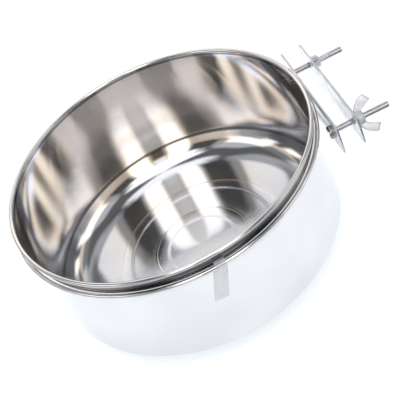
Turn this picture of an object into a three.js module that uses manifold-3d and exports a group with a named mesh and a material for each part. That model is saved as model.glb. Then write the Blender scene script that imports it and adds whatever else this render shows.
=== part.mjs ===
// Clamp-on bird feeder: a polished steel cup that hangs by its rolled rim in a wire ring, and a clamp of
// two strip plates, two bolts and two wing nuts that grips the wires of a cage.
// Millimetres, +Z up, origin at the centre of the cup's underside, clamp towards +X.

import * as THREE from 'three';
import { mergeVertices } from 'three/addons/utils/BufferGeometryUtils.js';
import Module from 'manifold-3d';

// Cup, spun from one sheet
const RIM_RADIUS = 95;
const CUP_HEIGHT = 83;
const SHEET = 0.8;
const ROLL_RADIUS = 1.35;
const ROLL_TURN = 270;
const WALL_DRAFT = 0.1;
const CORNER_RADIUS = 2.3;
const FLOOR_RADIUS = 72.6;
const FLOOR_BLEND = 20.4;
const BORDER_ANGLE = 56;
const BANDS = [{ inner: 21.5, outer: 31.5 }, { inner: 47, outer: 56 }];
const BAND_HEIGHT = 0.4;
const BAND_FLANK = 1.4;

// Wire ring that the rim rests in
const RING_WIRE_RADIUS = 1.25;
const RING_CLEARANCE = 0.5;
const RING_DROP = 9.5;

// Strip plates of the clamp
const PLATE_OVERHANG = 10.5;
const PLATE_WIDTH = 19.5;
const PLATE_THICKNESS = 1.2;
const PLATE_CORNER = 1.2;
const RING_BELOW_EDGE = 1.6;
const CLAMP_GAP = 11.4;

// Bolts, M4 with slotted round heads
const BOLT_RADIUS = 2;
const BOLT_LENGTH = 35;
const BOLT_SPACING = 65;
const BOLT_CHAMFER = 0.5;
const HEAD_RADIUS = 4;
const HEAD_HEIGHT = 2.6;
const HEAD_EDGE = 0.7;
const SLOT_WIDTH = 1.2;
const SLOT_DEPTH = 1.1;
const SLOT_ANGLES = { front: 50, rear: 15 };

// Wing nuts
const HUB_BASE_RADIUS = 4.4;
const HUB_TOP_RADIUS = 3.7;
const HUB_HEIGHT = 5.2;
const WING_SPAN = 23;
const WING_HEIGHT = 12.5;
const WING_TIP_WIDTH = 5;
const WING_TIP_SLANT = 35;
const WING_FOOT = 0.65;
const WING_ROOT_THICKNESS = 2.2;
const WING_TIP_THICKNESS = 1.3;
const NUT_ANGLES = { front: 50, rear: 140 };

// Clear strip over the ring at the front
const STRIP_AZIMUTH = -85.3;
const STRIP_WIDTH = 8.5;
const STRIP_NECK = 6;
const STRIP_THICKNESS = 0.3;
const STRIP_TAIL = 24;
const STRIP_LEAN = 18;
const STRIP_HEAD = 4.2;
const STRIP_RAMP = 3;

// Clearances
const SEAT_GAP = 0.3;
const HOLE_CLEARANCE = 0.25;
const THREAD_CLEARANCE = 0.2;
const RIM_PASS = 0.5;

// Facets
const CUP_FACETS = 64;
const WIRE_FACETS = 8;
const ROUND_FACETS = 24;
const BLEND_STEPS = 7;
const CORNER_STEPS = 4;
const ROLL_STEPS = 9;
const CURVE_STEPS = 5;

// Places that several pieces share
const rollCentreRadius = RIM_RADIUS - ROLL_RADIUS;
const rollCentreHeight = CUP_HEIGHT - ROLL_RADIUS;
const rollMiddle = ROLL_RADIUS - SHEET / 2;
const wallMiddleTop = rollCentreRadius - rollMiddle;
const wallMiddleBottom = wallMiddleTop - WALL_DRAFT;
const wallOuter = wallMiddleTop + SHEET / 2;
const ringRadius = wallOuter + RING_CLEARANCE + RING_WIRE_RADIUS;
const ringHeight = CUP_HEIGHT - RING_DROP;
const ringOuter = ringRadius + RING_WIRE_RADIUS;
const plateCentreHeight = ringHeight + RING_BELOW_EDGE - PLATE_WIDTH / 2;
const backPlateStart = ringOuter + SEAT_GAP;
const clampPlateStart = backPlateStart + PLATE_THICKNESS + CLAMP_GAP;
const nutStart = clampPlateStart + PLATE_THICKNESS + SEAT_GAP;
const headSeat = backPlateStart - SEAT_GAP;

const wasm = await Module();
wasm.setup();

const radians = THREE.MathUtils.degToRad;
const steel = (color, roughness) => new THREE.MeshStandardMaterial({ color, roughness, metalness: 1 });
const mirrorSteel = steel(0xd9dadd, 0.06);
const wireSteel = steel(0xcfd1d4, 0.14);
const plateSteel = steel(0xd2d3d5, 0.22);
const boltSteel = steel(0xbfc1c4, 0.28);
const nutSteel = steel(0xcbcccf, 0.32);
const clearFilm = new THREE.MeshStandardMaterial({
  color: 0xd8dadb, roughness: 0.45, metalness: 0, transparent: true, opacity: 0.5,
});

// One closed body from a geometry: equal corners merged, triangles without area left out
function closed(geometry) {
  const bare = new THREE.BufferGeometry();
  bare.setAttribute('position', geometry.getAttribute('position'));
  if (geometry.index) bare.setIndex(geometry.index);
  const merged = mergeVertices(bare);
  const corners = merged.index.array;
  const kept = [];
  for (let i = 0; i < corners.length; i += 3) {
    const [a, b, c] = corners.slice(i, i + 3);
    if (a !== b && b !== c && c !== a) kept.push(a, b, c);
  }
  merged.setIndex(kept);
  return merged;
}

function solid(geometry) {
  const body = closed(geometry);
  return new wasm.Manifold(new wasm.Mesh({
    numProp: 3,
    vertProperties: new Float32Array(body.getAttribute('position').array),
    triVerts: new Uint32Array(body.index.array),
  }));
}

function surface(manifold) {
  const mesh = manifold.getMesh();
  const geometry = new THREE.BufferGeometry();
  geometry.setAttribute('position', new THREE.BufferAttribute(mesh.vertProperties, 3));
  geometry.setIndex(new THREE.BufferAttribute(mesh.triVerts, 1));
  return geometry;
}

function piece(name, geometry, material) {
  geometry.computeVertexNormals();
  const mesh = new THREE.Mesh(geometry, material);
  mesh.name = name;
  return mesh;
}

// A profile of radius and height, turned about +Z
function turned(profile, facets) {
  return closed(new THREE.LatheGeometry(profile, facets)).rotateX(Math.PI / 2);
}

// Points of an arc about a centre, between two angles in degrees
function arc(centre, radius, start, end, steps) {
  return Array.from({ length: steps + 1 }, (_, step) => {
    const angle = radians(THREE.MathUtils.lerp(start, end, step / steps));
    return new THREE.Vector2(centre.x + radius * Math.cos(angle), centre.y + radius * Math.sin(angle));
  });
}

// The sheet's middle line from the centre of the floor out, up the wall and round the rolled edge.
// The floor has flat-topped pressed bands, and a round border climbs from it to a tight corner at the wall.
function cupMiddleLine() {
  const floor = SHEET / 2;
  const line = [new THREE.Vector2(0, floor)];
  for (const { inner, outer } of BANDS) {
    line.push(
      new THREE.Vector2(inner, floor),
      new THREE.Vector2(inner + BAND_FLANK, floor + BAND_HEIGHT),
      new THREE.Vector2(outer - BAND_FLANK, floor + BAND_HEIGHT),
      new THREE.Vector2(outer, floor),
    );
  }
  const borderEnd = BORDER_ANGLE - 90;
  const blendCentre = new THREE.Vector2(FLOOR_RADIUS, floor + FLOOR_BLEND);
  const blend = arc(blendCentre, FLOOR_BLEND, -90, borderEnd, BLEND_STEPS);
  const cornerCentre = new THREE.Vector2(wallMiddleBottom - CORNER_RADIUS, 0);
  const corner = arc(cornerCentre, CORNER_RADIUS, borderEnd, 0, CORNER_STEPS);
  const foot = blend[BLEND_STEPS];
  const climb = (corner[0].x - foot.x) * Math.tan(radians(BORDER_ANGLE));
  const lift = new THREE.Vector2(0, foot.y + climb - corner[0].y);
  const rollCentre = new THREE.Vector2(rollCentreRadius, rollCentreHeight);
  return [
    ...line,
    ...blend,
    ...corner.map((point) => point.add(lift)),
    ...arc(rollCentre, rollMiddle, 180, 180 - ROLL_TURN, ROLL_STEPS),
  ];
}

// Both faces of the sheet, half its thickness to each side of the middle line
function cupProfile() {
  const line = cupMiddleLine();
  const offset = (side) => line.map((point, i) => {
    const before = line[Math.max(0, i - 1)];
    const after = line[Math.min(line.length - 1, i + 1)];
    const along = i === 0 ? new THREE.Vector2(1, 0) : after.clone().sub(before).normalize();
    return new THREE.Vector2(along.y, -along.x).multiplyScalar(side * SHEET / 2).add(point);
  });
  return [...offset(1), ...offset(-1).reverse()];
}

function plateGeometry() {
  const across = BOLT_SPACING / 2 + PLATE_OVERHANG - PLATE_CORNER;
  const up = PLATE_WIDTH / 2 - PLATE_CORNER;
  const corner = (x, y, start) =>
    arc(new THREE.Vector2(x, y), PLATE_CORNER, start, start + 90, CORNER_STEPS);
  const shape = new THREE.Shape([
    ...corner(across, up, 0),
    ...corner(-across, up, 90),
    ...corner(-across, -up, 180),
    ...corner(across, -up, 270),
  ]);
  for (const side of [-1, 1]) {
    const centre = new THREE.Vector2(side * BOLT_SPACING / 2, 0);
    shape.holes.push(new THREE.Path(arc(centre, BOLT_RADIUS + HOLE_CLEARANCE, 360, 0, ROUND_FACETS)));
  }
  return closed(new THREE.ExtrudeGeometry(shape, { depth: PLATE_THICKNESS, bevelEnabled: false }));
}

// Bolt along +Z with the face under its head at zero
function boltGeometry() {
  const domeHeight = HEAD_HEIGHT - HEAD_EDGE;
  const domeRadius = (HEAD_RADIUS ** 2 + domeHeight ** 2) / (2 * domeHeight);
  const domeAngle = THREE.MathUtils.radToDeg(Math.asin(HEAD_RADIUS / domeRadius));
  const domeCentre = new THREE.Vector2(0, domeRadius - HEAD_HEIGHT);
  const profile = arc(domeCentre, domeRadius, -90, domeAngle - 90, CURVE_STEPS);
  profile[0].x = 0;
  profile.push(
    new THREE.Vector2(HEAD_RADIUS, 0),
    new THREE.Vector2(BOLT_RADIUS, 0),
    new THREE.Vector2(BOLT_RADIUS, BOLT_LENGTH - BOLT_CHAMFER),
    new THREE.Vector2(BOLT_RADIUS - BOLT_CHAMFER, BOLT_LENGTH),
    new THREE.Vector2(0, BOLT_LENGTH),
  );
  const slot = new THREE.BoxGeometry(SLOT_WIDTH, 3 * HEAD_RADIUS, 2 * SLOT_DEPTH);
  slot.translate(0, 0, -HEAD_HEIGHT);
  return surface(solid(turned(profile, ROUND_FACETS)).subtract(solid(slot)));
}

// One wing, drawn in the plane of the nut's axis: it sweeps out from the foot of the hub to a slanted tip
function wingGeometry() {
  const root = HUB_TOP_RADIUS - WING_ROOT_THICKNESS / 2;
  const reach = WING_SPAN / 2;
  const crest = HUB_HEIGHT - WING_FOOT;
  const tipDrop = WING_TIP_WIDTH * Math.sin(radians(WING_TIP_SLANT));
  const tipInset = WING_TIP_WIDTH * Math.cos(radians(WING_TIP_SLANT));
  const outerTip = new THREE.Vector2(reach, WING_HEIGHT - tipDrop);
  const innerTip = new THREE.Vector2(reach - tipInset, WING_HEIGHT);
  const shape = new THREE.Shape();
  shape.moveTo(root, WING_FOOT);
  shape.lineTo(HUB_BASE_RADIUS, WING_FOOT);
  shape.quadraticCurveTo(reach - tipInset / 2, WING_FOOT + tipDrop / 2, outerTip.x, outerTip.y);
  shape.quadraticCurveTo(reach, WING_HEIGHT, innerTip.x, innerTip.y);
  shape.quadraticCurveTo(HUB_TOP_RADIUS + tipInset / 4, crest + tipDrop / 2, HUB_TOP_RADIUS, crest);
  shape.lineTo(root, crest);
  const blade = new THREE.ExtrudeGeometry(shape, {
    depth: 1, bevelEnabled: false, curveSegments: CURVE_STEPS,
  });
  const corners = blade.getAttribute('position');
  for (let i = 0; i < corners.count; i += 1) {
    const along = (corners.getX(i) - root) / (reach - root);
    const thickness = THREE.MathUtils.lerp(WING_ROOT_THICKNESS, WING_TIP_THICKNESS, along);
    corners.setZ(i, (corners.getZ(i) - 0.5) * thickness);
  }
  return blade.rotateX(Math.PI / 2);
}

// Wing nut along +Z with its bearing face at zero and its wings along X
function wingNutGeometry() {
  const hub = turned([
    new THREE.Vector2(0, 0),
    new THREE.Vector2(HUB_BASE_RADIUS, 0),
    new THREE.Vector2(HUB_TOP_RADIUS, HUB_HEIGHT),
    new THREE.Vector2(0, HUB_HEIGHT),
  ], ROUND_FACETS);
  const boreLength = 3 * HUB_HEIGHT;
  const bore = new THREE.CylinderGeometry(
    BOLT_RADIUS + THREAD_CLEARANCE, BOLT_RADIUS + THREAD_CLEARANCE, boreLength, ROUND_FACETS,
  ).rotateX(Math.PI / 2);
  const nut = [0, 180].reduce(
    (body, turn) => body.add(solid(wingGeometry().rotateZ(radians(turn)))),
    solid(hub),
  );
  return surface(nut.subtract(solid(bore)));
}

// Strip drawn as radius and height, bent from the rim's side over the ring and down the wall, where its
// tail hangs a little askew
function stripGeometry() {
  const overRing = ringOuter + SEAT_GAP;
  const onWall = wallOuter + SEAT_GAP;
  const ringTop = ringHeight + RING_WIRE_RADIUS;
  const ringFoot = ringHeight - RING_WIRE_RADIUS;
  const inner = [
    [RIM_RADIUS + RIM_PASS, ringTop + STRIP_HEAD],
    [overRing, ringHeight],
    [overRing, ringFoot],
    [onWall, ringFoot - STRIP_RAMP],
    [onWall, ringFoot - STRIP_TAIL],
  ];
  const outer = inner.map(([radius, height]) => [radius + STRIP_THICKNESS, height]).reverse();
  const section = [...inner, ...outer].map(([radius, height]) => new THREE.Vector2(radius, height));
  const shape = new THREE.Shape(section);
  const bent = new THREE.ExtrudeGeometry(shape, { depth: STRIP_WIDTH, bevelEnabled: false });
  bent.translate(0, 0, -STRIP_WIDTH / 2).rotateX(Math.PI / 2);

  const notchDepth = (STRIP_WIDTH - STRIP_NECK) / 2;
  const notchHeight = 2 * (STRIP_HEAD + RING_WIRE_RADIUS);
  const notch = (side) => solid(new THREE.BoxGeometry(RIM_RADIUS, notchDepth, notchHeight).translate(
    RIM_RADIUS, side * (STRIP_NECK + notchDepth) / 2, ringFoot + notchHeight / 2,
  ));
  const strip = surface(solid(bent).subtract(notch(1).add(notch(-1))));
  const corners = strip.getAttribute('position');
  for (let i = 0; i < corners.count; i += 1) {
    const below = Math.max(0, ringFoot - corners.getZ(i));
    corners.setY(i, corners.getY(i) - below * Math.tan(radians(STRIP_LEAN)));
  }
  return strip.rotateZ(radians(STRIP_AZIMUTH));
}

const feeder = new THREE.Group();
feeder.add(piece('bowl', turned(cupProfile(), CUP_FACETS), mirrorSteel));

const ring = piece(
  'holder_ring',
  closed(new THREE.TorusGeometry(ringRadius, RING_WIRE_RADIUS, WIRE_FACETS, CUP_FACETS)),
  wireSteel,
);
ring.position.z = ringHeight;
feeder.add(ring);
feeder.add(piece('retaining_strip', stripGeometry(), clearFilm));

// The clamp is laid out along its bolts: its own z runs out from the cup, its x along the plates
const clamp = new THREE.Group();
clamp.quaternion.setFromRotationMatrix(new THREE.Matrix4().makeBasis(
  new THREE.Vector3(0, 1, 0), new THREE.Vector3(0, 0, 1), new THREE.Vector3(1, 0, 0),
));
clamp.position.z = plateCentreHeight;
feeder.add(clamp);

for (const [name, start] of [['back_plate', backPlateStart], ['clamp_plate', clampPlateStart]]) {
  const plate = piece(name, plateGeometry(), plateSteel);
  plate.position.z = start;
  clamp.add(plate);
}

for (const [place, side] of [['front', -1], ['rear', 1]]) {
  const bolt = piece(`bolt_${place}`, boltGeometry(), boltSteel);
  bolt.position.set(side * BOLT_SPACING / 2, 0, headSeat);
  bolt.rotation.z = radians(SLOT_ANGLES[place]);
  clamp.add(bolt);

  const nut = piece(`wing_nut_${place}`, wingNutGeometry(), nutSteel);
  nut.position.set(side * BOLT_SPACING / 2, 0, nutStart);
  nut.rotation.z = radians(NUT_ANGLES[place]);
  clamp.add(nut);
}

export default feeder;
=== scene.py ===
import math

import bpy
from mathutils import Matrix, Vector


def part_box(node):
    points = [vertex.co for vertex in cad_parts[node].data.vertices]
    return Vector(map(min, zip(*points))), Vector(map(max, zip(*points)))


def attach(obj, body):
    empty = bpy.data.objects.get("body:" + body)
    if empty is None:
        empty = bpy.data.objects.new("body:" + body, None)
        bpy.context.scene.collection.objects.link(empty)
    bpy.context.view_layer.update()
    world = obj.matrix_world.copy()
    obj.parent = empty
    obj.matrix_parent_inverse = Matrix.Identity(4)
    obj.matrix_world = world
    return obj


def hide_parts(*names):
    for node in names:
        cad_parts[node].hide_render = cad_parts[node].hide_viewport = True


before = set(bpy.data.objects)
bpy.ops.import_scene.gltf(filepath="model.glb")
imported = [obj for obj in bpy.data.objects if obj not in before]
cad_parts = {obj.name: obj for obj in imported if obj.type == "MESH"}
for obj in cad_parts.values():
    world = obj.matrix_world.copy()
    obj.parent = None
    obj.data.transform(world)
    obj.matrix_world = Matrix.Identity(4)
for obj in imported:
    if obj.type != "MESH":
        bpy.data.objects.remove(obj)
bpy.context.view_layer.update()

MM = 0.001
CLOSE = 0.001 * MM
DEGREES = 180 / math.pi

# Camera, at the photograph's viewing angle
CAMERA_AZIMUTH = math.radians(2.9)
CAMERA_ELEVATION = math.radians(40.16)
CAMERA_ROLL = math.radians(-28.61)
CAMERA_DISTANCE = 543.2 * MM
CAMERA_TARGET = Vector((0, 0, 54.1 * MM))
CAMERA_LENS = 81
CAMERA_SHIFT = (0.0698, -0.0308)
CAMERA_NEAR = 10 * MM

# Cup, spun from one sheet
SHEET = 0.8 * MM
ROLL_RADIUS = 1.35 * MM
ROLL_TURN = math.radians(300)
ROLL_STEPS = 30
WALL_DRAFT = 0.1 * MM
WALL_STEPS = 8
CORNER_RADIUS = 2.3 * MM
CORNER_STEPS = 10
BORDER_ANGLE = math.radians(56)
BORDER_STEPS = 3
FLOOR_RADIUS = 72.6 * MM
FLOOR_BLEND = 20.4 * MM
BLEND_STEPS = 20
FLOOR_POINTS = (0.0, 6 * MM, 14 * MM, 66 * MM)
BAND_HEIGHT = 0.25 * MM
BANDS = ((21.5 * MM, 31.5 * MM), (47 * MM, 56 * MM))
BAND_MARGIN = 1 * MM
BAND_INNER_FLANK = 3 * MM
BAND_INNER_STEPS = 8
BAND_OUTER_FLANK = 1.2 * MM
BAND_OUTER_STEPS = 6
SPIN_STEPS = 240

# Wire ring
WIRE_RADIUS = 1.25 * MM
WIRE_STEPS = 16
WELD_LENGTH = 9 * MM
WELD_HEIGHT = 1.1 * MM

# Clamp
PLATE_CORNER = 1.2 * MM
PLATE_EDGE = 0.15 * MM
BOLT_SPACING = 65 * MM
BOLT_RADIUS = 2 * MM
BOLT_CHAMFER = 0.5 * MM
THREAD_PITCH = 0.7 * MM
THREAD_DEPTH = 0.36 * MM
THREAD_ROOT = 0.09
THREAD_CREST = 0.4
THREAD_STEPS = 20
HOLE_CLEARANCE = 0.25 * MM
HEAD_RADIUS = 4 * MM
HEAD_HEIGHT = 2.6 * MM
HEAD_ROUND = 1.9 * MM
SLOT_WIDTH = 1.2 * MM
SLOT_DEPTH = 1.1 * MM
SLOT_ANGLES = {"front": math.radians(50), "rear": math.radians(15)}
HUB_BASE_RADIUS = 4.4 * MM
HUB_TOP_RADIUS = 3.7 * MM
HUB_HEIGHT = 5.2 * MM
HUB_EDGE = 0.5 * MM
BORE_CLEARANCE = 0.1 * MM
WING_SPAN = 23 * MM
WING_HEIGHT = 12.5 * MM
WING_FOOT = 0.65 * MM
WING_TIP_WIDTH = 5 * MM
WING_TIP_SLANT = math.radians(35)
WING_ROOT_THICKNESS = 2.2 * MM
WING_TIP_THICKNESS = 1.3 * MM
WING_EDGE = 0.3 * MM
WING_STATIONS = 9
NUT_ANGLES = {"front": math.radians(50), "rear": math.radians(140)}

# Clear strip over the ring
STRIP_AZIMUTH = math.radians(-85.3)
STRIP_LEAN = math.radians(18)
STRIP_WIDTH = 8.5 * MM
STRIP_NECK = 6 * MM
STRIP_THICKNESS = 0.3 * MM
STRIP_RAMP = 3 * MM
STRIP_EDGE = 0.1 * MM
SEAT_GAP = 0.3 * MM

# Mirror finish: light and dark tone, turning lines per metre, waves, then where painted shade sits: under the
# rim outside, strongest at the front, in the floor's crease and under the roll inside
MIRROR_TONES = ((0.735, 0.735, 0.75), (0.675, 0.675, 0.695))
MIRROR_CLOUDS = 18
MIRROR_ROUGHNESS = (0.04, 0.08)
SMEAR_SCALE = 28
SMEAR_RANGE = (0.3, 0.75)
TURNING_LINES = 90000
TURNING_FADE = (60 * MM, 91 * MM)
TURNING_TILT = (0.19, 0.06)
WAVE_SCALE = 45
WAVE_STRENGTH = 0.12
WAVE_DEPTH = 0.25 * MM
FACING = (0.2, 0.8)
# Painted shade: its tone, a dark band under the rim outside that is strongest at the front, and thin dark
# lines inside in the floor's crease and under the roll
PAINTED_SHADE_TONE = (0.13, 0.125, 0.13, 1)
UNDER_RIM_START = (73.5 * MM, 75.5 * MM)
UNDER_RIM_END = (81.5 * MM, 80.5 * MM)
FRONT_START = (-80 * MM, -30 * MM)
FRONT_END = (85 * MM, 25 * MM)
FRONT_REST = 0.25
CREASE_START = (12.6 * MM, 13.4 * MM)
CREASE_END = (15.6 * MM, 14.8 * MM)
ROLL_LINE_START = (79.4 * MM, 80.0 * MM)
ROLL_LINE_END = (81.6 * MM, 81.0 * MM)
INSIDE_SHADE = 0.75
HAZY_ENDS = (66 * MM, 90 * MM)
HAZE = 0.12

# Other steels: light and dark tone
PLATE_TONES = ((0.93, 0.93, 0.95), (0.90, 0.90, 0.92))
PLATE_CUT_TONE = (0.50, 0.52, 0.57)
PLATE_FACING = (0.3, 0.8)
NUT_TONES = ((0.71, 0.74, 0.81), (0.64, 0.67, 0.74))
WIRE_TONES = ((0.82, 0.82, 0.83), (0.74, 0.74, 0.75))
STEEL_CLOUDS = 160
TONE_RANGE = (0.35, 0.7)
WEAR_SCALE = 130
WEAR_RANGE = (0.3, 0.7)
WEAR_SPREAD = (0.75, 1.3)
GRAIN_DEPTH = 0.05 * MM
BOLT_TONES = ((0.95, 0.95, 0.96), (0.88, 0.88, 0.90))
# Bolts: painted shade in the thread's roots and the slot, and a painted dark reflection round the head's
# edge, with its tone and strengths
BOLT_SHADE_TONE = (0.1, 0.1, 0.11, 1)
BOLT_ROUGHNESS = (0.10, 0.17)
ROOT_START = 0.1 * MM
ROOT_SHADE = 0.7
SLOT_SHADE = (0.2 * MM, 0.7 * MM)
SLOT_END = 0.2 * MM
HEAD_FADE = 0.3 * MM
HEAD_EDGE = (0.7 * HEAD_RADIUS, 0.92 * HEAD_RADIUS)
HEAD_EDGE_SHADE = 0.8

# Clear plastic of the strip
FILM_TONES = ((0.86, 0.87, 0.88, 1), (0.92, 0.93, 0.94, 1))
FILM_CLOUDS = 220
FILM_ROUGHNESS = (0.28, 0.5)
FILM_ALPHA = (0.16, 0.28)
FILM_ALPHA_RANGE = (0.25, 0.75)
FILM_IOR = 1.5

# Studio panels in degrees: sideways from and to, where 0 is behind the camera, up from and to, brightness
PANELS = (
    (50, 146, 46, 95, 0.15),
    (57, 98, 25, 45, 1.9),
    (60, 97, 45, 61, 0.65),
    (100, 132, 38, 48, 0.25),
    (29, 55, 30, 56, 0.1),
    (52, 61, 30, 56, 0.5),
    (-5, 40, 54, 95, 1.8),
    (-5, 62, 66, 95, 1.8),
    (9, 26, 20, 56, 2.7),
    (-5, 6, 35, 54, 1.2),
    (148, 185, 26, 38, 1.8),
    (148, 185, 46, 95, 1.2),
    (-5, 185, -95, 8, 0.07),
    (-5, 140, -95, 17, 0.07),
    (60, 185, -95, 3, 0.8),
    (-5, 66, -28, 3, 0.8),
    (-5, 6, 12, 35, 0.12),
)
PANEL_EDGE = 3
ROOM_LEVEL = 0.8
STUDIO_TURN = math.radians(2.5)
FRONT_TINT = (1.0, 0.84, 0.64, 1)
SIDE_TINT = (1.0, 0.89, 0.78, 1)
SKY_TINT = (0.97, 0.985, 1.0, 1)
SIDE_START = (55, 75)
TINT_START = (20, 28)
TINT_END = (43, 36)
BACKDROP = (1, 1, 1, 1)
BACKDROP_LEVEL = 1.0

# Table and lamp
TABLE_RADIUS = 146 * MM
TABLE_CENTRE = (0, -20 * MM, 0)
TABLE_STRETCH = 1.4
TABLE_TONES = ((0.48, 0.485, 0.49, 1), (0.50, 0.50, 0.50, 1))
TABLE_CLOUDS = 3.0
TABLE_ROUGHNESS = 0.6
TABLE_GLOW = 0.65
TABLE_GLOW_TONE = (0.89, 0.95, 1, 1)
LAMP_HEIGHT = 1.6
LAMP_SIZE = 1.6
LAMP_POWER = 20
LAMP_COLOUR = (0.86, 0.93, 1.0)

# Places taken from the frame
cup_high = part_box("bowl")[1]
ring_low, ring_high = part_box("holder_ring")
RIM_RADIUS = cup_high.x
CUP_HEIGHT = cup_high.z
RING_HEIGHT = (ring_low.z + ring_high.z) / 2
RING_RADIUS = ring_high.x - WIRE_RADIUS
PLATE_HEIGHT = sum(corner.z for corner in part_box("back_plate")) / 2


def camera():
    """Stands the camera, turned about its own line of sight so that the cup leans as in the photograph."""
    flat = math.cos(CAMERA_ELEVATION)
    back = Vector((
        flat * math.sin(CAMERA_AZIMUTH),
        -flat * math.cos(CAMERA_AZIMUTH),
        math.sin(CAMERA_ELEVATION),
    ))
    bpy.ops.object.camera_add(location=CAMERA_TARGET + CAMERA_DISTANCE * back)
    made = bpy.context.object
    level = (-back).to_track_quat("-Z", "Y").to_matrix()
    made.rotation_euler = (level @ Matrix.Rotation(CAMERA_ROLL, 3, "Z")).to_euler()
    made.data.lens = CAMERA_LENS
    made.data.shift_x, made.data.shift_y = CAMERA_SHIFT
    made.data.clip_start = CAMERA_NEAR
    bpy.context.scene.camera = made


class Value:
    """One socket of a finish, so that shader maths reads as plain expressions."""

    def __init__(self, finish, socket):
        self.finish = finish
        self.socket = socket

    def maths(self, operation, *values):
        return self.finish.node("Math", dict(enumerate(values)), operation=operation)

    def __add__(self, other):
        return self.maths("ADD", self, other)

    def __radd__(self, other):
        return self.maths("ADD", other, self)

    def __sub__(self, other):
        return self.maths("SUBTRACT", self, other)

    def __rsub__(self, other):
        return self.maths("SUBTRACT", other, self)

    def __mul__(self, other):
        return self.maths("MULTIPLY", self, other)

    def __rmul__(self, other):
        return self.maths("MULTIPLY", other, self)

    def __truediv__(self, other):
        return self.maths("DIVIDE", self, other)

    def __rtruediv__(self, other):
        return self.maths("DIVIDE", other, self)

    def __abs__(self):
        return self.maths("ABSOLUTE", self)


class Finish:
    """A node tree, filled from Python."""

    def __init__(self, tree):
        self.tree = tree

    def node(self, kind, inputs=(), out=0, **settings):
        """Adds a node, sets it up, then gives its sockets values or links. Returns one of its outputs."""
        made = self.tree.nodes.new("ShaderNode" + kind)
        for name, setting in settings.items():
            setattr(made, name, setting)
        for key, given in dict(inputs).items():
            self.fill(made.inputs[key], given)
        return Value(self, made.outputs[out])

    def fill(self, socket, given):
        if isinstance(given, Value):
            self.tree.links.new(given.socket, socket)
        else:
            socket.default_value = given

    def smooth(self, value, start, end, low=0.0, high=1.0):
        """Goes smoothly from low to high as value goes from start to end."""
        ends = {"Value": value, "From Min": start, "From Max": end, "To Min": low, "To Max": high}
        return self.node("MapRange", ends, interpolation_type="SMOOTHSTEP")

    def noise(self, place, scale, detail=2.0, roughness=0.5):
        inputs = {"Vector": place, "Scale": scale, "Detail": detail, "Roughness": roughness}
        return self.node("TexNoise", inputs)

    def mix(self, share, first, second):
        """A colour between two others."""
        return self.node("Mix", {"Factor": share, 6: first, 7: second}, out=2, data_type="RGBA")

    def split(self, vector):
        """The three numbers of a vector, by axis."""
        return {axis: self.node("SeparateXYZ", {0: vector}, out=axis) for axis in "XYZ"}

    def worn_colour(self, place, tones, scale):
        """A light and a dark tone of one metal in soft clouds."""
        light, dark = tones
        return self.mix(self.smooth(self.noise(place, scale), *TONE_RANGE), (*dark, 1), (*light, 1))


class Material(Finish):
    """A material with one principled surface."""

    def __init__(self, name, **constants):
        self.material = bpy.data.materials.new(name)
        self.material.use_nodes = True
        super().__init__(self.material.node_tree)
        self.surface = self.tree.nodes["Principled BSDF"]
        self.set(**constants)

    def set(self, **given):
        for name, value in given.items():
            self.fill(self.surface.inputs[name.replace("_", " ")], value)

    def place(self):
        return self.node("TexCoord", out="Object")


def mirror_steel():
    """Polished sheet with turning lines round its axis, slight waves, and painted shade: a dark band under
    the rim outside and thin dark lines in the floor's crease and under the roll inside.
    """
    finish = Material("mirror_steel")
    place = finish.place()
    split = finish.split(place)
    flat = finish.node("CombineXYZ", {"X": split["X"], "Y": split["Y"]})
    radius = finish.node("VectorMath", {0: flat}, out="Value", operation="LENGTH")
    outward = finish.node("VectorMath", {0: flat}, operation="NORMALIZE")
    normal = finish.node("NewGeometry", out="Normal")
    along = finish.node("VectorMath", {0: normal, 1: outward}, out="Value", operation="DOT_PRODUCT")
    upward = finish.node("SeparateXYZ", {0: normal}, out="Z")
    across_x = finish.node("VectorMath", {0: outward, "Scale": upward}, operation="SCALE")
    across_z = finish.node("CombineXYZ", {"Z": 0 - along})
    meridian = finish.node("VectorMath", {0: across_x, 1: across_z}, operation="ADD")

    turning = {"W": (radius + split["Z"]) * TURNING_LINES}
    lines = finish.node("TexWhiteNoise", turning, out="Value", noise_dimensions="1D")
    tilt = (lines - 0.5) * finish.smooth(radius, *TURNING_FADE, *TURNING_TILT)
    groove = finish.node("VectorMath", {0: meridian, "Scale": tilt}, operation="SCALE")
    turned = finish.node("VectorMath", {0: normal, 1: groove}, operation="ADD")
    grooved = finish.node("VectorMath", {0: turned}, operation="NORMALIZE")
    waves = finish.noise(place, WAVE_SCALE, detail=1.0)
    wavy = finish.node("Bump", {
        "Height": waves, "Normal": grooved, "Strength": WAVE_STRENGTH, "Distance": WAVE_DEPTH,
    })

    outside = finish.smooth(along, FACING[0], FACING[1])
    inside = finish.smooth(along, -FACING[0], -FACING[1])
    # Painted shade: a dark band on the outer wall under the rim, strongest at the front, and thin dark lines
    # inside in the floor's crease and under the roll
    under_rim = finish.smooth(split["Z"], *UNDER_RIM_START) * finish.smooth(split["Z"], *UNDER_RIM_END)
    front = finish.smooth(split["X"], *FRONT_START) * finish.smooth(split["X"], *FRONT_END, FRONT_REST, 1)
    crease = finish.smooth(split["Z"], *CREASE_START) * finish.smooth(split["Z"], *CREASE_END)
    roll_line = finish.smooth(split["Z"], *ROLL_LINE_START) * finish.smooth(split["Z"], *ROLL_LINE_END)
    rim_and_crease_shade = under_rim * outside * front + (crease + roll_line) * inside * INSIDE_SHADE
    haze = finish.smooth(abs(split["X"]), *HAZY_ENDS) * inside * HAZE
    unshaded = finish.worn_colour(place, MIRROR_TONES, MIRROR_CLOUDS)
    smears = finish.noise(place, SMEAR_SCALE, detail=4.0)
    finish.set(
        Base_Color=finish.mix(rim_and_crease_shade, unshaded, PAINTED_SHADE_TONE),
        Metallic=1 - haze,
        Roughness=finish.smooth(smears, *SMEAR_RANGE, *MIRROR_ROUGHNESS),
        Normal=wavy,
    )
    return finish.material


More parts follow.
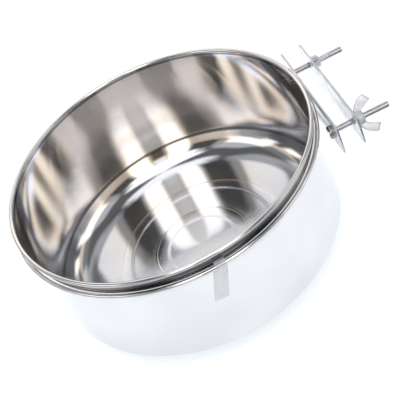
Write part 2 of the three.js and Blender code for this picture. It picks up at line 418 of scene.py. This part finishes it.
def drawn_steel(name, tones, rough, grain, relief, cut_tone=None):
    """Bright steel with a fine grain and soft wear. A plate's sheared edges may have a tone of their own."""
    finish = Material(name, Metallic=1.0)
    place = finish.place()
    fine = finish.noise(place, grain, detail=3.0, roughness=0.6)
    wear = finish.noise(place, WEAR_SCALE, detail=3.0)
    colour = finish.worn_colour(place, tones, STEEL_CLOUDS)
    if cut_tone:
        normal = finish.node("NewGeometry", out="Normal")
        sideways = abs(finish.node("SeparateXYZ", {0: normal}, out="X"))
        colour = finish.mix(finish.smooth(sideways, *PLATE_FACING), (*cut_tone, 1), colour)
    least, most = WEAR_SPREAD
    finish.set(
        Base_Color=colour,
        Roughness=finish.smooth(wear, *WEAR_RANGE, rough * least, rough * most),
        Normal=finish.node("Bump", {"Height": fine, "Strength": relief, "Distance": GRAIN_DEPTH}),
    )
    return finish.material


def bolt_steel():
    """Bright machined steel, with painted shade in the thread's roots and in the slot, and a painted dark
    reflection round the edge of the head.
    """
    finish = Material("bolt_steel", Metallic=1.0)
    place = finish.place()
    split = finish.split(place)
    from_axis = {"X": abs(split["Y"]) - BOLT_SPACING / 2, "Y": split["Z"] - PLATE_HEIGHT}
    off_axis = finish.node("CombineXYZ", from_axis)
    radius = finish.node("VectorMath", {0: off_axis}, out="Value", operation="LENGTH")
    low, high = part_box("bolt_front")
    seat = low.x + HEAD_HEIGHT
    past_head = finish.smooth(split["X"], seat, seat + THREAD_PITCH)
    before_tip = finish.smooth(split["X"], high.x - BOLT_CHAMFER / 4, high.x - BOLT_CHAMFER / 2)
    root = finish.smooth(radius, BOLT_RADIUS - ROOT_START, BOLT_RADIUS - THREAD_DEPTH)
    root = root * past_head * before_tip
    on_head = finish.smooth(split["X"], seat, seat - HEAD_FADE)
    out = radius / HEAD_RADIUS
    depth = split["X"] - low.x - out * out * HEAD_ROUND
    slot = finish.smooth(depth, *SLOT_SHADE) * on_head
    slot = slot * finish.smooth(radius, HEAD_RADIUS, HEAD_RADIUS - SLOT_END)
    edge = finish.smooth(radius, *HEAD_EDGE) * on_head
    # Painted shade in the roots and the slot, and a painted dark reflection round the head's edge
    bolt_shade = root * ROOT_SHADE + slot + edge * HEAD_EDGE_SHADE
    unshaded = finish.worn_colour(place, BOLT_TONES, STEEL_CLOUDS)
    wear = finish.noise(place, WEAR_SCALE, detail=3.0)
    finish.set(
        Base_Color=finish.mix(bolt_shade, unshaded, BOLT_SHADE_TONE),
        Roughness=finish.smooth(wear, *WEAR_RANGE, *BOLT_ROUGHNESS),
    )
    return finish.material


def clear_film():
    """Thin clear plastic, a little hazy, with a few cloudy patches."""
    finish = Material("clear_film", IOR=FILM_IOR)
    place = finish.place()
    haze = finish.noise(place, FILM_CLOUDS, detail=4.0)
    finish.set(
        Base_Color=finish.mix(haze, *FILM_TONES),
        Roughness=finish.smooth(haze, *WEAR_RANGE, *FILM_ROUGHNESS),
        Alpha=finish.smooth(haze, *FILM_ALPHA_RANGE, *FILM_ALPHA),
    )
    return finish.material


def edit():
    """Opens the active piece for shaping, with all of it selected."""
    bpy.ops.object.mode_set(mode="EDIT")
    bpy.ops.mesh.select_mode(type="VERT")
    bpy.ops.mesh.select_all(action="SELECT")


def edit_edges(piece, wanted):
    """Opens a piece for shaping, with only the edges selected whose two ends pass a test."""
    edit()
    bpy.ops.mesh.select_mode(type="EDGE")
    bpy.ops.mesh.select_all(action="DESELECT")
    done()
    for edge in piece.data.edges:
        edge.select = wanted(*(piece.data.vertices[index].co for index in edge.vertices))
    bpy.ops.object.mode_set(mode="EDIT")


def done():
    bpy.ops.object.mode_set(mode="OBJECT")
    return bpy.context.object


def chosen(piece):
    """Makes a piece the active one, alone in the selection."""
    bpy.ops.object.select_all(action="DESELECT")
    piece.select_set(True)
    bpy.context.view_layer.objects.active = piece


def place_into_mesh():
    """Moves the place, turn and size of what is selected into its mesh."""
    bpy.ops.object.transform_apply(location=True, rotation=True, scale=True)


def added(name, primitive, **size):
    """A new primitive, alone in the selection."""
    bpy.ops.object.select_all(action="DESELECT")
    primitive(**size)
    piece = bpy.context.object
    piece.name = piece.data.name = name
    return piece


def drawn(name, points):
    """A chain of edges from point to point, left in edit mode."""
    piece = added(name, bpy.ops.mesh.primitive_plane_add, size=MM)
    edit()
    bpy.ops.mesh.merge(type="CENTER")
    bpy.ops.transform.translate(value=points[0])
    for start, end in zip(points, points[1:]):
        bpy.ops.mesh.extrude_vertices_move(TRANSFORM_OT_translate={"value": end - start})
    bpy.ops.mesh.select_all(action="SELECT")
    return piece


def spun(name, section):
    """A section in radius and height, turned once about the upright axis and closed up."""
    drawn(name, [Vector((point.x, 0, point.y)) for point in section])
    bpy.ops.mesh.spin(steps=SPIN_STEPS, angle=2 * math.pi, center=(0, 0, 0), axis=(0, 0, 1))
    bpy.ops.mesh.select_all(action="SELECT")
    bpy.ops.mesh.remove_doubles(threshold=CLOSE)
    bpy.ops.mesh.normals_make_consistent(inside=False)
    return done()


def apply_modifier(piece, kind, **settings):
    modifier = piece.modifiers.new(kind.title(), kind)
    for name, setting in settings.items():
        setattr(modifier, name, setting)
    bpy.context.view_layer.objects.active = piece
    bpy.ops.object.modifier_apply(modifier=modifier.name)


def combined(piece, tool, operation):
    """Joins a tool to a piece or cuts it out, and clears the tool away."""
    apply_modifier(piece, "BOOLEAN", object=tool, operation=operation, solver="EXACT")
    bpy.data.objects.remove(tool)


def eased(piece, width, segments, degrees):
    """Rounds the edges where a piece bends by more than an angle."""
    sharp = math.radians(degrees)
    apply_modifier(piece, "BEVEL", width=width, segments=segments, limit_method="ANGLE", angle_limit=sharp)


def smoothed(piece, degrees=35):
    chosen(piece)
    bpy.ops.object.shade_smooth_by_angle(angle=math.radians(degrees))
    return piece


def settled(piece, matrix):
    """Puts a piece in its place, with the place in its mesh."""
    chosen(piece)
    piece.matrix_world = matrix
    place_into_mesh()
    return piece


def copied(piece, name):
    twin = piece.copy()
    twin.data = piece.data.copy()
    twin.name = twin.data.name = name
    bpy.context.scene.collection.objects.link(twin)
    return twin


def dressed(piece, material, body, node):
    """Gives a piece its finish, and stands it in for its node on its body."""
    piece.data.materials.clear()
    piece.data.materials.append(material)
    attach(piece, body)
    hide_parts(node)


def step(value, start, end):
    share = min(1.0, max(0.0, (value - start) / (end - start)))
    return share * share * (3 - 2 * share)


def arc(centre, radius, start, end, steps):
    angles = [start + (end - start) * index / steps for index in range(steps + 1)]
    return [centre + radius * Vector((math.cos(angle), math.sin(angle))) for angle in angles]


def floor_height(radius):
    """Height of the pressed bands above the floor."""
    return sum(
        BAND_HEIGHT * step(radius, inner, inner + BAND_INNER_FLANK)
        * (1 - step(radius, outer - BAND_OUTER_FLANK, outer))
        for inner, outer in BANDS
    )


def floor_line():
    """The floor from its centre out, with close points only on the flanks of the bands."""
    radii = set(FLOOR_POINTS)
    for inner, outer in BANDS:
        radii |= {
            inner + BAND_INNER_FLANK * index / BAND_INNER_STEPS for index in range(BAND_INNER_STEPS + 1)
        }
        radii |= {
            outer - BAND_OUTER_FLANK * index / BAND_OUTER_STEPS for index in range(BAND_OUTER_STEPS + 1)
        }
        radii |= {inner - BAND_MARGIN, outer + BAND_MARGIN}
    return [Vector((radius, SHEET / 2 + floor_height(radius))) for radius in sorted(radii)]


def cup_line():
    """Middle of the sheet: floor, round border, tight corner, wall and rolled edge."""
    roll = ROLL_RADIUS - SHEET / 2
    roll_centre = Vector((RIM_RADIUS - ROLL_RADIUS, CUP_HEIGHT - ROLL_RADIUS))
    wall_top = roll_centre.x - roll
    steepest = BORDER_ANGLE - math.pi / 2
    blend_centre = Vector((FLOOR_RADIUS, SHEET / 2 + FLOOR_BLEND))
    blend = arc(blend_centre, FLOOR_BLEND, -math.pi / 2, steepest, BLEND_STEPS)
    corner_centre = Vector((wall_top - WALL_DRAFT - CORNER_RADIUS, 0))
    corner = arc(corner_centre, CORNER_RADIUS, steepest, 0, CORNER_STEPS)
    climb = (corner[0].x - blend[-1].x) * math.tan(BORDER_ANGLE)
    lift = Vector((0, blend[-1].y + climb - corner[0].y))
    corner = [point + lift for point in corner]
    slope = [blend[-1].lerp(corner[0], index / BORDER_STEPS) for index in range(1, BORDER_STEPS)]
    rolled = arc(roll_centre, roll, math.pi, math.pi - ROLL_TURN, ROLL_STEPS)
    wall = [corner[-1].lerp(rolled[0], index / WALL_STEPS) for index in range(1, WALL_STEPS)]
    return [*floor_line(), *blend, *slope, *corner, *wall, *rolled]


def cup():
    """Both faces of the sheet, half its thickness from the middle, spun into one closed shell."""
    line = cup_line()
    faces = []
    for side in (1, -1):
        face = []
        for index, point in enumerate(line):
            before, after = line[max(0, index - 1)], line[min(len(line) - 1, index + 1)]
            along = (after - before).normalized() if index else Vector((1, 0))
            face.append(point + side * SHEET / 2 * Vector((along.y, -along.x)))
        faces.append(face)
    return smoothed(spun("cup", [*faces[0], *reversed(faces[1])]))


def ring():
    """Wire hoop, with a small weld where it meets the plate."""
    hoop = spun("ring", arc(Vector((RING_RADIUS, RING_HEIGHT)), WIRE_RADIUS, 0, 2 * math.pi, WIRE_STEPS))
    plate_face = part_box("back_plate")[0].x
    weld = added(
        "weld", bpy.ops.mesh.primitive_uv_sphere_add, segments=24, ring_count=12, radius=1,
        location=(plate_face - WIRE_RADIUS / 2, 0, RING_HEIGHT),
        scale=(WIRE_RADIUS / 2, WELD_LENGTH / 2, WELD_HEIGHT),
    )
    place_into_mesh()
    combined(hoop, weld, "UNION")
    return smoothed(hoop)


def plate(name, node):
    """Strip plate with rounded corners, bolt holes and edges eased by tumbling."""
    low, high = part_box(node)
    thickness = high.x - low.x
    middle = (low + high) / 2
    piece = added(name, bpy.ops.mesh.primitive_cube_add, size=1, location=middle, scale=high - low)
    place_into_mesh()
    edit_edges(piece, lambda first, second: abs(first.x - second.x) > thickness / 2)
    bpy.ops.mesh.bevel(offset=PLATE_CORNER, segments=6)
    done()
    for side in (-1, 1):
        drill = added(
            "drill", bpy.ops.mesh.primitive_cylinder_add, vertices=32, radius=BOLT_RADIUS + HOLE_CLEARANCE,
            depth=4 * thickness, rotation=(0, math.pi / 2, 0),
            location=((low.x + high.x) / 2, side * BOLT_SPACING / 2, PLATE_HEIGHT),
        )
        combined(piece, drill, "DIFFERENCE")
    eased(piece, PLATE_EDGE, segments=2, degrees=50)
    return smoothed(piece)


def thread(length):
    """A threaded rod up the z axis from zero, cut square at both ends."""
    root = BOLT_RADIUS - THREAD_DEPTH
    shape = (
        (root, 0), (root, THREAD_ROOT), (BOLT_RADIUS, THREAD_CREST),
        (BOLT_RADIUS, 1 - THREAD_CREST), (root, 1 - THREAD_ROOT), (root, 1),
    )
    rod = drawn("thread", [Vector((radius, 0, (share - 2) * THREAD_PITCH)) for radius, share in shape])
    done()
    turns = math.ceil(length / THREAD_PITCH) + 4
    apply_modifier(
        rod, "SCREW", axis="Z", screw_offset=THREAD_PITCH, iterations=turns, steps=THREAD_STEPS,
        render_steps=THREAD_STEPS,
    )
    edit()
    bpy.ops.mesh.remove_doubles(threshold=CLOSE)
    for height, side in ((0, -1), (length, 1)):
        bpy.ops.mesh.select_all(action="SELECT")
        bpy.ops.mesh.bisect(
            plane_co=(0, 0, height), plane_no=(0, 0, side), use_fill=True, clear_outer=True, threshold=CLOSE,
        )
    bpy.ops.mesh.select_all(action="SELECT")
    bpy.ops.mesh.normals_make_consistent(inside=False)
    return done()


def rounded_end(rod, length):
    """Takes the corner off a rod's far end."""
    tip = added(
        "tip", bpy.ops.mesh.primitive_cylinder_add, vertices=32, radius=2 * BOLT_RADIUS, depth=2 * length,
        location=(0, 0, 0),
    )
    edit_edges(tip, lambda first, second: min(first.z, second.z) > 0)
    bpy.ops.mesh.bevel(offset=BOLT_RADIUS + BOLT_CHAMFER, segments=1)
    done()
    combined(rod, tip, "INTERSECT")


def bolt():
    """Bolt along +Z with the face under its head at zero: slotted round head and a thread."""
    low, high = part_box("bolt_front")
    length = high.x - low.x - HEAD_HEIGHT
    rod = thread(length)
    rounded_end(rod, length)
    head = added(
        "head", bpy.ops.mesh.primitive_cylinder_add, vertices=48, radius=HEAD_RADIUS, depth=HEAD_HEIGHT,
        location=(0, 0, -HEAD_HEIGHT / 2),
    )
    place_into_mesh()
    edit_edges(head, lambda first, second: max(first.z, second.z) < -HEAD_HEIGHT / 2)
    bpy.ops.mesh.bevel(offset=HEAD_ROUND, segments=8, profile=0.6)
    done()
    slot = added(
        "slot", bpy.ops.mesh.primitive_cube_add, size=1, location=(0, 0, -HEAD_HEIGHT),
        scale=(SLOT_WIDTH, 3 * HEAD_RADIUS, 2 * SLOT_DEPTH),
    )
    combined(head, slot, "DIFFERENCE")
    combined(head, rod, "UNION")
    return smoothed(head)


def curve(first, bend, last, share):
    """A point on a curve that leaves first for bend and comes to last."""
    return first.lerp(bend, share).lerp(bend.lerp(last, share), share)


def wing():
    """One wing, drawn out from the hub by sections to its slanted tip."""
    reach = WING_SPAN / 2
    drop = WING_TIP_WIDTH * math.sin(WING_TIP_SLANT)
    inset = WING_TIP_WIDTH * math.cos(WING_TIP_SLANT)
    crest = HUB_HEIGHT - WING_FOOT
    root = HUB_TOP_RADIUS - WING_ROOT_THICKNESS / 2
    lower = (
        Vector((root, WING_FOOT)), Vector((reach - inset / 2, WING_FOOT + drop / 2)),
        Vector((reach, WING_HEIGHT - drop)),
    )
    upper = (
        Vector((root, crest)), Vector((HUB_TOP_RADIUS + inset / 4, crest + drop / 2)),
        Vector((reach - inset, WING_HEIGHT)),
    )
    blade = added("wing", bpy.ops.mesh.primitive_plane_add, size=1, rotation=(0, math.pi / 2, 0))
    place_into_mesh()
    places = []
    for index in range(WING_STATIONS):
        share = index / (WING_STATIONS - 1)
        thickness = WING_ROOT_THICKNESS + (WING_TIP_THICKNESS - WING_ROOT_THICKNESS) * share
        places.append((curve(*lower, share), curve(*upper, share), thickness))
    edit()
    for _ in range(1, WING_STATIONS):
        bpy.ops.mesh.extrude_region_move(TRANSFORM_OT_translate={"value": (1, 0, 0)})
    done()
    for vertex in blade.data.vertices:
        low, high, thickness = places[round(vertex.co.x)]
        point = high if vertex.co.z > 0 else low
        vertex.co = Vector((point.x, math.copysign(thickness / 2, vertex.co.y), point.y))
    edit()
    bpy.ops.mesh.normals_make_consistent(inside=False)
    done()
    eased(blade, WING_EDGE, segments=3, degrees=40)
    return blade


def wing_nut():
    """Wing nut along +Z with its bearing face at zero."""
    hub = added(
        "hub", bpy.ops.mesh.primitive_cone_add, vertices=48, radius1=HUB_BASE_RADIUS, radius2=HUB_TOP_RADIUS,
        depth=HUB_HEIGHT, location=(0, 0, HUB_HEIGHT / 2),
    )
    place_into_mesh()
    eased(hub, HUB_EDGE, segments=4, degrees=50)
    first = wing()
    second = copied(first, "second_wing")
    settled(second, Matrix.Rotation(math.pi, 4, "Z"))
    for blade in (first, second):
        combined(hub, blade, "UNION")
    bore = added(
        "bore", bpy.ops.mesh.primitive_cylinder_add, vertices=48, radius=BOLT_RADIUS + BORE_CLEARANCE,
        depth=4 * HUB_HEIGHT,
    )
    combined(hub, bore, "DIFFERENCE")
    return smoothed(hub)


def clamp_place(side, start, angle):
    """Place on one bolt's line: z runs out from the cup, x along the plates, turned by an angle."""
    basis = Matrix(((0, 0, 1, 0), (1, 0, 0, 0), (0, 1, 0, 0), (0, 0, 0, 1)))
    spot = Matrix.Translation((start, side * BOLT_SPACING / 2, PLATE_HEIGHT))
    return spot @ basis @ Matrix.Rotation(angle, 4, "Z")


def strip():
    """Clear strip, bent from beside the rim over the ring and down the wall, where its tail hangs askew."""
    low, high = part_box("retaining_strip")
    unturn = Matrix.Rotation(-STRIP_AZIMUTH, 3, "Z")
    reach = [(unturn @ vertex.co).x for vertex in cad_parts["retaining_strip"].data.vertices]
    on_wall, by_rim = min(reach), max(reach) - STRIP_THICKNESS
    over_ring = ring_high.x + SEAT_GAP
    ring_foot = RING_HEIGHT - WIRE_RADIUS
    stations = [
        (Vector((radius, min(0, height - ring_foot) * math.tan(STRIP_LEAN), height)), width)
        for radius, height, width in (
            (by_rim, high.z, STRIP_NECK),
            (over_ring, RING_HEIGHT, STRIP_NECK),
            (over_ring, ring_foot, STRIP_NECK),
            (on_wall, ring_foot - STRIP_RAMP, STRIP_WIDTH),
            (on_wall, low.z, STRIP_WIDTH),
        )
    ]
    half = Vector((0, STRIP_NECK / 2, 0))
    band = drawn("strip", [stations[0][0] - half, stations[0][0] + half])
    for (centre, width), (next_centre, next_width) in zip(stations, stations[1:]):
        bpy.ops.mesh.extrude_region_move(TRANSFORM_OT_translate={"value": next_centre - centre})
        bpy.ops.transform.resize(value=(1, next_width / width, 1))
    done()
    apply_modifier(band, "SOLIDIFY", thickness=STRIP_THICKNESS, offset=1)
    eased(band, STRIP_EDGE, segments=2, degrees=60)
    settled(band, Matrix.Rotation(STRIP_AZIMUTH, 4, "Z"))
    return smoothed(band)


def floor():
    """Plain pale oval table under the cup, with a little light of its own."""
    table = added(
        "floor", bpy.ops.mesh.primitive_circle_add, vertices=96, radius=TABLE_RADIUS, fill_type="NGON",
        location=TABLE_CENTRE,
    )
    place_into_mesh()
    for corner in table.data.vertices:
        if corner.co.y > TABLE_CENTRE[1]:
            corner.co.y = TABLE_CENTRE[1] + TABLE_STRETCH * (corner.co.y - TABLE_CENTRE[1])
    finish = Material(
        "pale_floor", Roughness=TABLE_ROUGHNESS, Emission_Color=TABLE_GLOW_TONE, Emission_Strength=TABLE_GLOW,
    )
    cloud = finish.noise(finish.place(), TABLE_CLOUDS)
    finish.set(Base_Color=finish.mix(cloud, *TABLE_TONES))
    table.data.materials.append(finish.material)


def span(sky, angle, start, end):
    """One between two angles, nothing beyond them, with soft ends."""
    opening = sky.smooth(angle, start - PANEL_EDGE, start + PANEL_EDGE)
    closing = sky.smooth(angle, end + PANEL_EDGE, end - PANEL_EDGE)
    return opening * closing


def studio():
    """Soft light all round: pale panels with darker gaps, alike on both sides, and plain white behind."""
    world = bpy.data.worlds.new("studio")
    bpy.context.scene.world = world
    world.use_nodes = True
    sky = Finish(world.node_tree)
    towards = {"Vector": sky.node("TexCoord", out="Generated"), "Angle": STUDIO_TURN - CAMERA_AZIMUTH}
    split = sky.split(sky.node("VectorRotate", towards, rotation_type="Z_AXIS"))
    aside = abs(split["X"].maths("ARCTAN2", split["X"], 0 - split["Y"])) * DEGREES
    height = split["Z"].maths("ARCSINE", split["Z"]) * DEGREES
    light = ROOM_LEVEL
    for near, far, low, high, level in PANELS:
        light = light + span(sky, aside, near, far) * span(sky, height, low, high) * (level - light)
    low_tint = sky.mix(sky.smooth(aside, *SIDE_START), FRONT_TINT, SIDE_TINT)
    tint = sky.mix(sky.smooth(height, *TINT_START) * sky.smooth(height, *TINT_END), SKY_TINT, low_tint)
    behind = sky.node("LightPath", out="Is Camera Ray")
    background = world.node_tree.nodes["Background"]
    sky.fill(background.inputs["Color"], sky.mix(behind, tint, BACKDROP))
    sky.fill(background.inputs["Strength"], light + behind * (BACKDROP_LEVEL - light))


def lamps():
    """One large soft lamp overhead."""
    bpy.ops.object.light_add(type="AREA", location=(0, 0, LAMP_HEIGHT))
    lamp = bpy.context.object
    lamp.data.size = LAMP_SIZE
    lamp.data.energy = LAMP_POWER
    lamp.data.color = LAMP_COLOUR
    lamp.visible_glossy = False


camera()
studio()
lamps()
floor()

plate_finish = drawn_steel(
    "plate_steel", PLATE_TONES, rough=0.3, grain=60, relief=0.03, cut_tone=PLATE_CUT_TONE,
)
bolt_finish = bolt_steel()
nut_finish = drawn_steel("nut_steel", NUT_TONES, rough=0.46, grain=1500, relief=0.12)
wire_finish = drawn_steel("wire_steel", WIRE_TONES, rough=0.05, grain=300, relief=0.12)

dressed(cup(), mirror_steel(), "cup", "bowl")
dressed(ring(), wire_finish, "holder", "holder_ring")
dressed(plate("back_strip", "back_plate"), plate_finish, "holder", "back_plate")
dressed(plate("outer_strip", "clamp_plate"), plate_finish, "jaw", "clamp_plate")
dressed(strip(), clear_film(), "holder", "retaining_strip")

first_bolt = bolt()
first_nut = wing_nut()
head_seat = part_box("bolt_front")[0].x + HEAD_HEIGHT
nut_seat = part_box("wing_nut_front")[0].x
for place, side in (("front", -1), ("rear", 1)):
    screw = settled(copied(first_bolt, f"screw_{place}"), clamp_place(side, head_seat, SLOT_ANGLES[place]))
    dressed(screw, bolt_finish, "holder", f"bolt_{place}")
    nut = settled(copied(first_nut, f"nut_{place}"), clamp_place(side, nut_seat, NUT_ANGLES[place]))
    dressed(nut, nut_finish, f"nut_{place}", f"wing_nut_{place}")
for pattern in (first_bolt, first_nut):
    bpy.data.objects.remove(pattern)

bpy.context.scene.view_settings.view_transform = "Standard"
